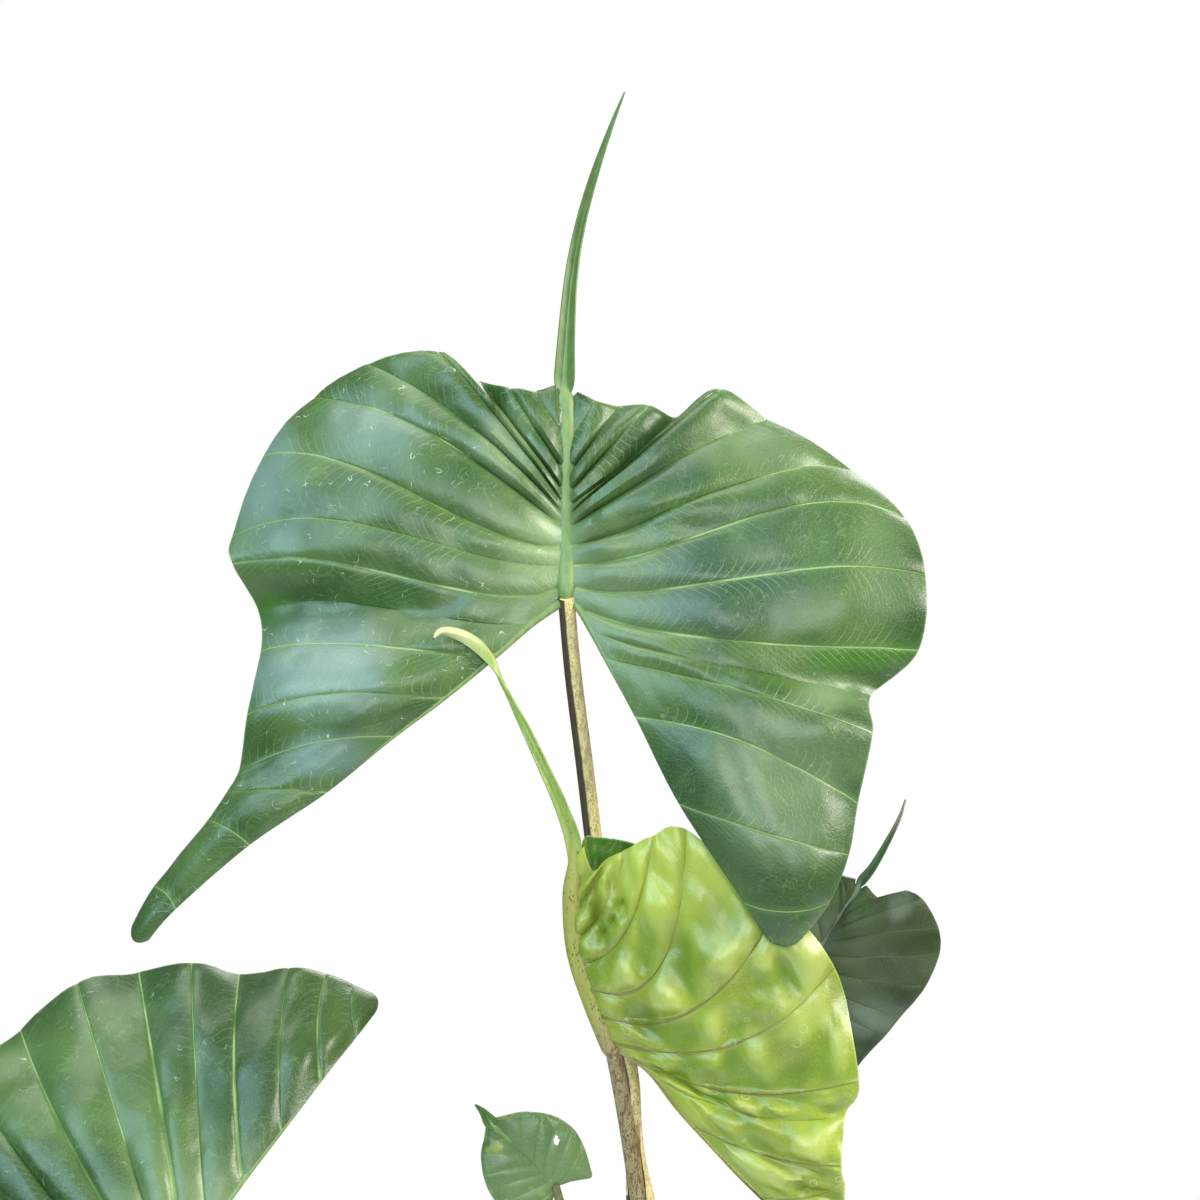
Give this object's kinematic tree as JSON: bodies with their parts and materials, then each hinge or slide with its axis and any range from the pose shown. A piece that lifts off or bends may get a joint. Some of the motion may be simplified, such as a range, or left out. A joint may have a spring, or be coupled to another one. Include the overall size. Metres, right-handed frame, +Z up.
{
  "type": "potted giant taro",
  "caption": "Young giant taro with long-tailed, arrow-shaped, pleated leaves on tall mottled stalks, with its newest leaf half open, growing in a plain tapered pot.",
  "frame": {"origin": "centre of the pot's flat underside, where it stands on the floor", "axes": "+Z up along the pot's axis; -Y towards the front, which the main leaf's upper face looks at; +X to the right seen from the front"},
  "size_m": [0.5203, 0.2823, 0.8664],
  "materials": {
    "pot_plastic": "satin",
    "soil": "matte",
    "stem": "matte",
    "stalk": "satin",
    "new_stalk": "satin",
    "leaf": "satin",
    "new_leaf": "satin",
    "back_leaf": "satin"
  },
  "bodies": {
    "root": {"pot": "pot_plastic", "soil": "soil", "stem": "stem", "petiole_main": "stalk", "petiole_new": "new_stalk", "petiole_lower": "stalk", "petiole_back": "stalk", "petiole_small": "stalk", "blade_main": "leaf", "blade_new": "new_leaf", "blade_lower": "leaf", "blade_back": "back_leaf", "blade_small": "leaf"}
  },
  "joints": []
}
